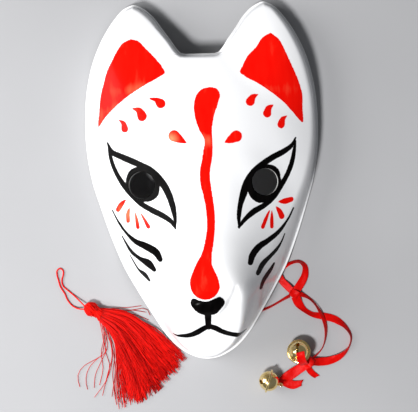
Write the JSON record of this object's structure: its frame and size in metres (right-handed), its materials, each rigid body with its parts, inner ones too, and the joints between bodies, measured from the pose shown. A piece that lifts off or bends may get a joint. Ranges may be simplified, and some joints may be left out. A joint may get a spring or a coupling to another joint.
{
  "type": "kitsune mask",
  "caption": "Full-face fox mask, white with red and black brush painting, round eye holes, and red ribbon with round bells and a silk tassel.",
  "frame": {"origin": "on the surface that the mask lies on, under the middle of the mask's outline", "axes": "+Z out of the face, +Y towards the ears, +X to the viewer's right as the face looks up"},
  "size_m": [0.2185, 0.2948, 0.0749],
  "materials": {
    "shell": "gloss white with brush-painted red and black",
    "ribbon": "red satin ribbon",
    "bell": "pale gold, polished",
    "tassel": "red silk thread"
  },
  "bodies": {
    "root": {"mask": "shell", "ribbon_tie": "ribbon", "ribbon_loop": "ribbon", "ribbon_long": "ribbon", "ribbon_short": "ribbon", "ribbon_end": "ribbon", "ribbon_knot_1": "ribbon", "ribbon_knot_2": "ribbon", "bell_1": "bell", "bell_2": "bell", "tassel_loop": "tassel", "tassel_head": "tassel", "tassel_skirt": "tassel"}
  },
  "joints": []
}
